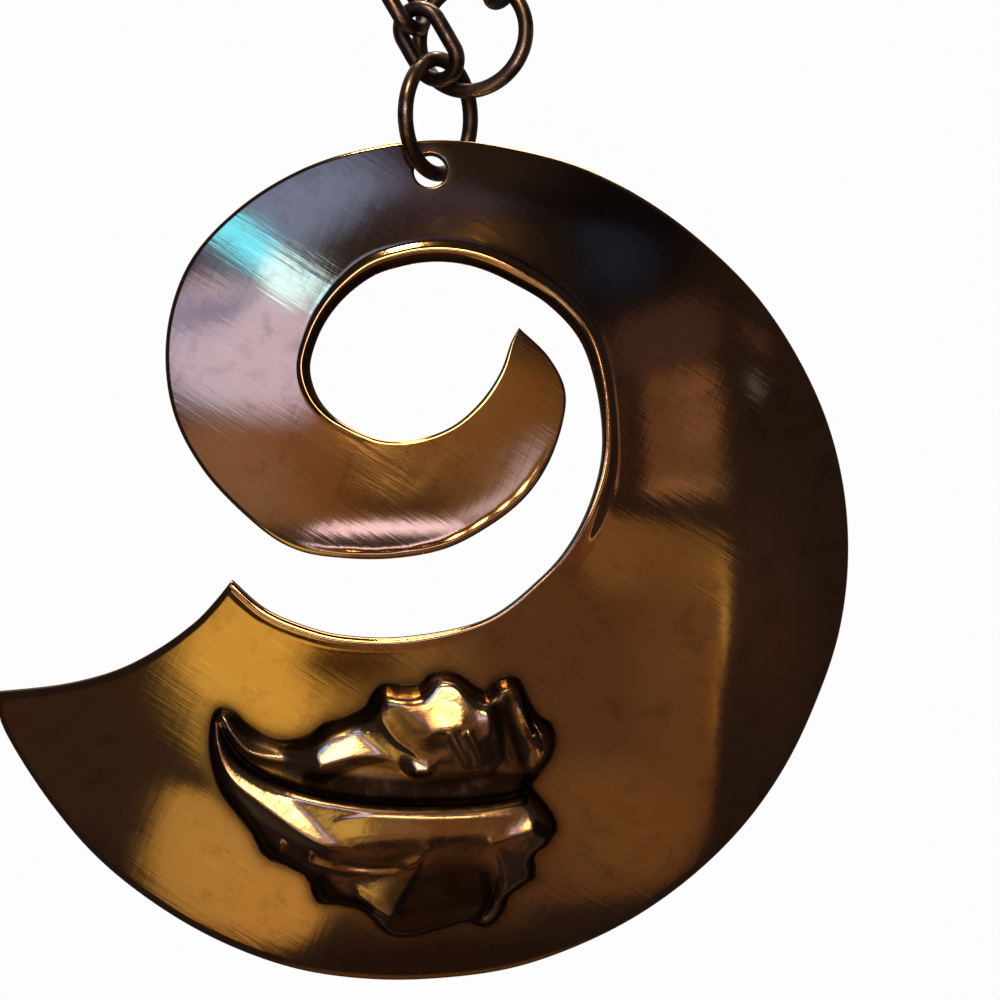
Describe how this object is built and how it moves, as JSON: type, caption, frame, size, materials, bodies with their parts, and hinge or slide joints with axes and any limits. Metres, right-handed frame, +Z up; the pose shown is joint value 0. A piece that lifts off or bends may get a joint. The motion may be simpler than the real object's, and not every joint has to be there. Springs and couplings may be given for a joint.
{
  "type": "spiral pendant necklace",
  "caption": "Domed copper-alloy spiral pendant with a cast leaf, hung by a jump ring from a cable chain with a ring clasp.",
  "frame": {"origin": "inner side of the loop of chain at its very top, where it hangs on a neck or a peg", "axes": "+Z up, -Y the way the domed face looks, +X to the right as seen from the front"},
  "size_m": [0.1237, 0.0116, 0.2515],
  "materials": {
    "domed_sheet": "polished copper alloy, brushed in places, dark patina in the recesses",
    "ring_wire": "antiqued wire, worn bright on its outside",
    "chain_wire": "antiqued wire, worn bright on its outside"
  },
  "bodies": {
    "chain": {"chain_left": "chain_wire", "chain_right": "chain_wire", "clasp": "ring_wire", "end_ring": "ring_wire"},
    "ring": {"jump_ring": "ring_wire"},
    "pendant": {"spiral_plate": "domed_sheet"}
  },
  "joints": [
    {"name": "ring_swing", "type": "hinge", "parent": "chain", "child": "ring", "pos_m": [-0.00015, 0, -0.17666], "axis": [1, 0, 0], "range_deg": [-12, 12]},
    {"name": "pendant_swing", "type": "hinge", "parent": "ring", "child": "pendant", "pos_m": [-0.00134, -0.00173, -0.18368], "axis": [0.0063, -0.9766, 0.2149], "range_deg": [-35, 35]}
  ]
}
